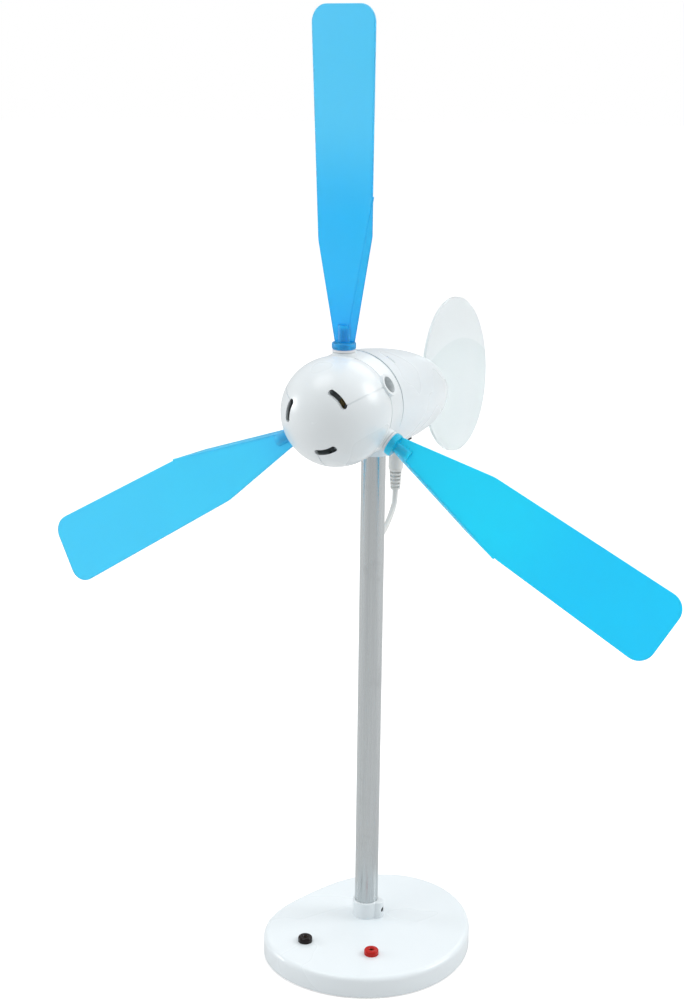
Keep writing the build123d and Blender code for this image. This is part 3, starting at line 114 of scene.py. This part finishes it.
def moulded_skin():
    """Moulded plastic: a fine spark-eroded grain, a slow sink-mark wave and finger smudges."""
    tree, start, end = group_shell(
        "moulded_skin",
        {"Grain Scale": 1500.0, "Smudge Scale": 22.0},
        {"Height": "NodeSocketFloat", "Smudge": "NodeSocketFloat"},
    )
    grain = noise(tree, 1.0, 2.0, 0.6)
    wave = noise(tree, WAVE_SCALE, 1.0, 0.4)
    smudge = noise(tree, 1.0, 1.5, 0.5)
    for node in (grain, wave, smudge):
        link(tree, start.outputs["Vector"], node.inputs["Vector"])
    link(tree, start.outputs["Grain Scale"], grain.inputs["Scale"])
    link(tree, start.outputs["Smudge Scale"], smudge.inputs["Scale"])
    total = tree.nodes.new("ShaderNodeMath")
    total.operation = "MULTIPLY_ADD"
    total.inputs[1].default_value = GRAIN_SHARE
    link(tree, grain.outputs["Fac"], total.inputs[0])
    link(tree, wave.outputs["Fac"], total.inputs[2])
    link(tree, total.outputs["Value"], end.inputs["Height"])
    smudged = remap(tree, smudge.outputs["Fac"], SMUDGE_FROM, SMUDGE_TO, 0.0, 1.0)
    link(tree, smudged, end.inputs["Smudge"])
    return tree


def drawn_lines():
    """Metal drawn or turned along Z: long fine lines and a few faint handling marks."""
    tree, start, end = group_shell(
        "drawn_lines",
        {"Line Scale": 900.0, "Mark Scale": 60.0},
        {"Height": "NodeSocketFloat", "Line": "NodeSocketFloat", "Mark": "NodeSocketFloat"},
    )
    stretch = tree.nodes.new("ShaderNodeVectorMath")
    stretch.operation = "MULTIPLY"
    stretch.inputs[1].default_value = (1.0, 1.0, LINE_STRETCH)
    link(tree, start.outputs["Vector"], stretch.inputs[0])
    line = noise(tree, 1.0, 3.0, 0.6)
    link(tree, stretch.outputs["Vector"], line.inputs["Vector"])
    link(tree, start.outputs["Line Scale"], line.inputs["Scale"])
    mark = noise(tree, 1.0, 5.0, 0.7)
    link(tree, start.outputs["Vector"], mark.inputs["Vector"])
    link(tree, start.outputs["Mark Scale"], mark.inputs["Scale"])
    link(tree, line.outputs["Fac"], end.inputs["Height"])
    line_mask = remap(tree, line.outputs["Fac"], LINE_FROM, LINE_TO, 0.0, 1.0)
    mark_mask = remap(tree, mark.outputs["Fac"], MARK_FROM, MARK_TO, 0.0, 1.0)
    link(tree, line_mask, end.inputs["Line"])
    link(tree, mark_mask, end.inputs["Mark"])
    return tree


def distance_ramp():
    """0 nearer to a point than Near, 1 further than Far."""
    tree, start, end = group_shell(
        "distance_ramp",
        {"X": 0.0, "Y": 0.0, "Z": 0.0, "Near": 0.0, "Far": 1.0},
        {"Mask": "NodeSocketFloat"},
    )
    point = tree.nodes.new("ShaderNodeCombineXYZ")
    for axis in "XYZ":
        link(tree, start.outputs[axis], point.inputs[axis])
    far = tree.nodes.new("ShaderNodeVectorMath")
    far.operation = "DISTANCE"
    link(tree, start.outputs["Vector"], far.inputs[0])
    link(tree, point.outputs["Vector"], far.inputs[1])
    ramp = tree.nodes.new("ShaderNodeMapRange")
    ramp.interpolation_type = "SMOOTHSTEP"
    link(tree, far.outputs["Value"], ramp.inputs["Value"])
    link(tree, start.outputs["Near"], ramp.inputs["From Min"])
    link(tree, start.outputs["Far"], ramp.inputs["From Max"])
    link(tree, ramp.outputs["Result"], end.inputs["Mask"])
    return tree


GROUPS = {"skin": moulded_skin(), "lines": drawn_lines(), "distance": distance_ramp()}


def new_material(name, **sockets):
    """Material with its tree, its Principled shader and its Object coordinates."""
    made = bpy.data.materials.new(name)
    made.use_nodes = True
    tree = made.node_tree
    shader = tree.nodes["Principled BSDF"]
    for label, value in sockets.items():
        shader.inputs[label.replace("_", " ")].default_value = value
    coords = tree.nodes.new("ShaderNodeTexCoord").outputs["Object"]
    return made, tree, shader, coords


def use_group(tree, key, coords, **values):
    """Places a shared group on the Object coordinates with this material's own values."""
    node = tree.nodes.new("ShaderNodeGroup")
    node.node_tree = GROUPS[key]
    link(tree, coords, node.inputs["Vector"])
    for label, value in values.items():
        node.inputs[label.replace("_", " ")].default_value = value
    return node


def reach_mask(tree, coords, centre, near, far):
    """0 nearer to centre than near, 1 further away than far."""
    x, y, z = centre
    node = use_group(tree, "distance", coords, X=x, Y=y, Z=z, Near=near, Far=far)
    return node.outputs["Mask"]


def mix_colour(tree, factor, first, second):
    """Mixes two colours, each a plain tuple or a socket."""
    node = tree.nodes.new("ShaderNodeMix")
    node.data_type = "RGBA"
    link(tree, factor, node.inputs[0])
    for socket, colour in ((node.inputs[6], first), (node.inputs[7], second)):
        if isinstance(colour, tuple):
            socket.default_value = (*colour, 1.0)
        else:
            link(tree, colour, socket)
    return node.outputs[2]


def bump(tree, shader, height, depth, strength=1.0):
    node = tree.nodes.new("ShaderNodeBump")
    node.inputs["Distance"].default_value = depth
    node.inputs["Strength"].default_value = strength
    link(tree, height, node.inputs["Height"])
    link(tree, node.outputs["Normal"], shader.inputs["Normal"])


def tinted(colour, share):
    """The same hue at a share of its brightness."""
    return tuple(channel * share for channel in colour)


def plastic(name, colour, rough=0.3, coat=0.25, depth=0.00001, grain=1500.0, dull=0.975, **sockets):
    """Moulded plastic: smudges shift its roughness and its tone a little, over a fine grain."""
    made, tree, shader, coords = new_material(
        name, IOR=1.5, Coat_Weight=coat, Coat_Roughness=COAT_ROUGHNESS, **sockets
    )
    skin = use_group(tree, "skin", coords, Grain_Scale=grain)
    smudge = skin.outputs["Smudge"]
    toned = mix_colour(tree, smudge, colour, tinted(colour, dull))
    link(tree, toned, shader.inputs["Base Color"])
    roughness = remap(tree, smudge, 0.0, 1.0, rough, rough + SMUDGE_ROUGHENS)
    link(tree, roughness, shader.inputs["Roughness"])
    bump(tree, shader, skin.outputs["Height"], depth)
    return made


def metal(name, colour, rough=0.3, depth=0.00003, line=900.0, dull=0.86, **sockets):
    """Drawn or turned metal: lines along Z and faint marks."""
    made, tree, shader, coords = new_material(name, Metallic=1.0, **sockets)
    lines = use_group(tree, "lines", coords, Line_Scale=line)
    toned = mix_colour(tree, lines.outputs["Line"], tinted(colour, dull), colour)
    marked = mix_colour(tree, lines.outputs["Mark"], toned, tinted(colour, dull * dull))
    link(tree, marked, shader.inputs["Base Color"])
    roughness = remap(tree, lines.outputs["Line"], 0.0, 1.0, rough + LINE_ROUGHENS, rough)
    link(tree, roughness, shader.inputs["Roughness"])
    bump(tree, shader, lines.outputs["Height"], depth)
    return made


def blade_plastic(name, root, middle, tip):
    """Translucent blue moulding, its colour blended from root to middle to tip by reach from the hub; the colours
    it is given carry painted light and shade.
    """
    made, tree, shader, coords = new_material(
        name,
        IOR=1.46,
        Transmission_Weight=0.58,
        Coat_Weight=0.12,
        Coat_Roughness=COAT_ROUGHNESS,
    )
    skin = use_group(tree, "skin", coords, Grain_Scale=1100.0, Smudge_Scale=30.0)
    past_root = reach_mask(tree, coords, HUB, ROOT_NEAR, ROOT_FAR)
    near_tip = reach_mask(tree, coords, HUB, TIP_NEAR, TIP_FAR)
    inner = mix_colour(tree, past_root, root, middle)
    along = mix_colour(tree, near_tip, inner, tip)
    shaded = tree.nodes.new("ShaderNodeMix")
    shaded.data_type = "RGBA"
    shaded.blend_type = "MULTIPLY"
    haze = remap(tree, skin.outputs["Smudge"], 0.0, 1.0, 0.0, SMUDGE_SHARE)
    link(tree, haze, shaded.inputs[0])
    link(tree, along, shaded.inputs[6])
    shaded.inputs[7].default_value = (*BLADE_SMUDGE, 1.0)
    link(tree, shaded.outputs[2], shader.inputs["Base Color"])
    most = BLADE_ROUGHNESS + SMUDGE_ROUGHENS
    roughness = remap(tree, skin.outputs["Smudge"], 0.0, 1.0, BLADE_ROUGHNESS, most)
    link(tree, roughness, shader.inputs["Roughness"])
    bump(tree, shader, skin.outputs["Height"], CLEAR_DEPTH)
    return made


def vane_plastic():
    """Frosted clear sheet, its lower part below a wide arc darker in tone and rougher."""
    made, tree, shader, coords = new_material(
        "vane_frosted",
        IOR=1.46,
        Transmission_Weight=0.62,
        Coat_Weight=0.2,
        Coat_Roughness=COAT_ROUGHNESS,
    )
    skin = use_group(tree, "skin", coords, Grain_Scale=3200.0, Smudge_Scale=26.0)
    above = reach_mask(tree, coords, ARC_CENTRE, ARC_NEAR, ARC_FAR)
    toned = mix_colour(tree, above, (0.845, 0.905, 0.915), (0.90, 0.945, 0.96))
    haze = remap(tree, skin.outputs["Smudge"], 0.0, 1.0, 0.0, SMUDGE_SHARE)
    smudged = mix_colour(tree, haze, toned, SHEET_SMUDGE)
    link(tree, smudged, shader.inputs["Base Color"])
    roughness = remap(tree, above, 0.0, 1.0, FROST_INSIDE, FROST_OUTSIDE)
    link(tree, roughness, shader.inputs["Roughness"])
    bump(tree, shader, skin.outputs["Height"], CLEAR_DEPTH)
    return made


# ---------------------------------------------------------------- finishes
WHITE = (0.77, 0.83, 0.86)
FINISHES = {
    "shell_white": plastic("shell_white", WHITE, rough=0.26, coat=0.35),
    "hub_white": plastic("hub_white", (0.77, 0.82, 0.84), rough=0.26, coat=0.3),
    "holder_white": plastic("holder_white", (0.76, 0.77, 0.79), rough=0.4, coat=0.1),
    "cover_grey": plastic(
        "cover_grey", (0.62, 0.63, 0.65), rough=0.5, coat=0.0, depth=0.00006, grain=900.0
    ),
    "bulkhead_grey": plastic("bulkhead_grey", (0.20, 0.21, 0.23), rough=0.5, coat=0.0, dull=0.85),
    "foot_pad": plastic(
        "foot_pad", (0.34, 0.35, 0.36), rough=0.8, coat=0.0, depth=0.0002, grain=900.0, dull=0.8
    ),
    "ballast_steel": metal("ballast_steel", (0.45, 0.46, 0.48), rough=0.4),
    "steel": metal("steel", (0.70, 0.71, 0.74), rough=0.24, line=1800.0),
    "black_steel": metal("black_steel", (0.05, 0.05, 0.055), rough=0.42, line=1800.0),
    "socket_black": plastic(
        "socket_black",
        (0.008, 0.004, 0.004),
        rough=0.14,
        coat=0.0,
        dull=1.4,
        Specular_IOR_Level=0.22,
    ),
    "socket_red": plastic(
        "socket_red",
        (0.52, 0.010, 0.006),
        rough=0.14,
        coat=0.0,
        dull=0.85,
        Specular_IOR_Level=0.25,
    ),
    "brass": metal("brass", (0.83, 0.62, 0.26), rough=0.2, line=2400.0),
    "copper": metal("copper", (0.86, 0.46, 0.28), rough=0.22, line=2400.0),
    "mast_aluminium": metal(
        "mast_aluminium", (0.52, 0.55, 0.56), rough=0.22, line=700.0, dull=0.94
    ),
    "lead_white": plastic(
        "lead_white", (0.74, 0.74, 0.72), rough=0.42, coat=0.1, depth=0.00004, grain=2600.0
    ),
    "wire_red": plastic("wire_red", (0.52, 0.02, 0.02), rough=0.4, coat=0.1),
    "bush_nylon": plastic("bush_nylon", (0.66, 0.64, 0.57), rough=0.45, coat=0.0),
    "can_steel": metal("can_steel", (0.62, 0.63, 0.66), rough=0.3, line=1200.0),
    "magnet": metal("magnet", (0.12, 0.12, 0.13), rough=0.5, line=800.0),
    "cap_black": plastic("cap_black", (0.02, 0.02, 0.022), rough=0.45, coat=0.05, dull=1.3),
    "vane_frosted": vane_plastic(),
}
BLADE_BLUES_PAINTED_LIGHT = {  # colours of the root, the middle and the tip; the three blades are one blue plastic, and their differing blues are painted light and shade
    "blade_top": blade_plastic(
        "blade_blue_top_painted_light", (0.004, 0.50, 1.0), (0.008, 0.59, 1.0), (0.09, 0.69, 1.0)
    ),
    "blade_right": blade_plastic(
        "blade_blue_right_painted_light", (0.001, 0.73, 1.0), (0.001, 0.74, 1.0), (0.001, 0.67, 1.0)
    ),
    "blade_left": blade_plastic(
        "blade_blue_left_painted_light", (0.05, 0.62, 0.98), (0.055, 0.70, 1.0), (0.06, 0.70, 1.0)
    ),
}
SLOTS = {row["node"]: row["material_slot"] for row in frame["record"]["subparts"]}
for node_name, node in NODES.items():
    finish = BLADE_BLUES_PAINTED_LIGHT.get(node_name) or FINISHES[SLOTS[node_name]]
    node.data.materials.clear()
    node.data.materials.append(finish)


# ---------------------------------------------------------------- generator lead
def nurbs_curve(name, points, radius=0.0):
    """Smooth curve through the bends of a route, a tube where it is given a radius."""
    curve = bpy.data.curves.new(name, "CURVE")
    curve.dimensions = "3D"
    curve.resolution_u = LEAD_STEPS
    curve.bevel_depth = radius
    curve.bevel_resolution = LEAD_RING
    curve.use_fill_caps = True
    spline = curve.splines.new("NURBS")
    spline.points.add(len(points) - 1)
    for control, place in zip(spline.points, points):
        control.co = (*place, 1.0)
    spline.order_u = 3
    spline.use_endpoint_u = True
    return bpy.data.objects.new(name, curve)


def mesh_of(curve_object):
    """Mesh of a curve, which is removed."""
    bpy.context.scene.collection.objects.link(curve_object)
    graph = bpy.context.evaluated_depsgraph_get()
    mesh = bpy.data.meshes.new_from_object(curve_object.evaluated_get(graph))
    bpy.data.objects.remove(curve_object)
    return mesh


lead_line = mesh_of(nurbs_curve("lead_line", LEAD_ROUTE))
lead_mesh = mesh_of(nurbs_curve("lead_tube", LEAD_ROUTE, LEAD_RADIUS))
lead_mesh.name = "generator_lead_flex"
for face in lead_mesh.polygons:
    face.use_smooth = True
lead_mesh.materials.clear()
lead_mesh.materials.append(FINISHES["lead_white"])
lead = bpy.data.objects.new("generator_lead_flex", lead_mesh)
bpy.context.scene.collection.objects.link(lead)
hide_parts("generator_lead")
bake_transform(lead)

# ---------------------------------------------------------------- floor, light, camera
FLOOR_RADIUS = 9.0
FLOOR_SEGMENTS = 96
FLOOR_MOTTLE = 3.0
FLOOR_DARK, FLOOR_PALE = (0.70, 0.70, 0.70), (0.72, 0.72, 0.72)
FLOOR_LIFT = 0.45  # keeps the paper sweep as pale as the studio behind it
DOME_LOW, DOME_HIGH = 0.44, 1.0  # brightness of the studio at the horizon and overhead

floor_bm = bmesh.new()
bmesh.ops.create_circle(floor_bm, cap_ends=True, segments=FLOOR_SEGMENTS, radius=FLOOR_RADIUS)
floor_mesh = bpy.data.meshes.new("floor")
floor_bm.to_mesh(floor_mesh)
floor_bm.free()
floor = bpy.data.objects.new("floor", floor_mesh)
bpy.context.scene.collection.objects.link(floor)


def seen_or_through(tree):
    """1 where a ray comes straight from the eye or through a clear part, 0 elsewhere."""
    path_kind = tree.nodes.new("ShaderNodeLightPath")
    either = tree.nodes.new("ShaderNodeMath")
    either.operation = "MAXIMUM"
    link(tree, path_kind.outputs["Is Camera Ray"], either.inputs[0])
    link(tree, path_kind.outputs["Is Transmission Ray"], either.inputs[1])
    return either.outputs["Value"]


floor_paint, floor_tree, floor_shader, floor_coords = new_material(
    "floor_paint", Roughness=0.7, Emission_Color=(1.0, 1.0, 1.0, 1.0)
)
floor_lift = remap(floor_tree, seen_or_through(floor_tree), 0.0, 1.0, 0.0, FLOOR_LIFT)
link(floor_tree, floor_lift, floor_shader.inputs["Emission Strength"])
floor_noise = noise(floor_tree, FLOOR_MOTTLE)
link(floor_tree, floor_coords, floor_noise.inputs["Vector"])
floor_tone = mix_colour(floor_tree, floor_noise.outputs["Fac"], FLOOR_DARK, FLOOR_PALE)
link(floor_tree, floor_tone, floor_shader.inputs["Base Color"])
floor_mesh.materials.append(floor_paint)

world = bpy.data.worlds.new("studio")
world.use_nodes = True
sky = world.node_tree
direction = sky.nodes.new("ShaderNodeSeparateXYZ")
link(sky, sky.nodes.new("ShaderNodeTexCoord").outputs["Generated"], direction.inputs["Vector"])
dome = remap(sky, direction.outputs["Z"], 0.0, 1.0, DOME_LOW, DOME_HIGH)
brightness = sky.nodes.new("ShaderNodeMix")
link(sky, seen_or_through(sky), brightness.inputs[0])
link(sky, dome, brightness.inputs[2])
brightness.inputs[3].default_value = 1.0
backdrop = sky.nodes["Background"]
backdrop.inputs["Color"].default_value = (1.0, 1.0, 1.0, 1.0)
link(sky, brightness.outputs[0], backdrop.inputs["Strength"])
bpy.context.scene.world = world
bpy.context.scene.view_settings.view_transform = "Standard"


def soft_box(name, place, size, power):
    """Round soft light of a width in metres and a power in watts, aimed at the object."""
    data = bpy.data.lights.new(name, "AREA")
    data.shape = "DISK"
    data.size = size
    data.energy = power
    lamp = bpy.data.objects.new(name, data)
    lamp.location = place
    lamp.rotation_euler = (MIDDLE - Vector(place)).to_track_quat("-Z", "Y").to_euler()
    bpy.context.scene.collection.objects.link(lamp)


MIDDLE = Vector((0.0, 0.0, 0.26))
soft_box("key_light", place=(-0.5, -0.5, 1.8), size=1.0, power=6.0)
soft_box("left_light", place=(-1.5, -0.4, 0.5), size=0.5, power=5.0)
soft_box("right_light", place=(1.4, 0.7, 1.2), size=1.0, power=12.0)
soft_box("rim_light", place=(0.3, 1.5, 1.5), size=1.2, power=4.0)

CAMERA_PLACE = Vector((0.29503, -0.71373, 0.45403))
CAMERA_YAW = radians(23.58)
CAMERA_PITCH = radians(15.68)
CAMERA_ROLL = radians(0.65)
CAMERA_LENS = 58.914
CAMERA_SENSOR = 36.0
ahead = Vector(
    (
        -sin(CAMERA_YAW) * cos(CAMERA_PITCH),
        cos(CAMERA_YAW) * cos(CAMERA_PITCH),
        -sin(CAMERA_PITCH),
    )
)
level_right = Vector((cos(CAMERA_YAW), sin(CAMERA_YAW), 0.0))
level_up = level_right.cross(ahead)
right = cos(CAMERA_ROLL) * level_right + sin(CAMERA_ROLL) * level_up
up = cos(CAMERA_ROLL) * level_up - sin(CAMERA_ROLL) * level_right
camera_data = bpy.data.cameras.new("camera")
camera_data.sensor_width = CAMERA_SENSOR
camera_data.lens = CAMERA_LENS
camera = bpy.data.objects.new("camera", camera_data)
turn = Matrix((right, up, -ahead)).transposed().to_4x4()
camera.matrix_world = Matrix.Translation(CAMERA_PLACE) @ turn
bpy.context.scene.collection.objects.link(camera)
bpy.context.scene.camera = camera
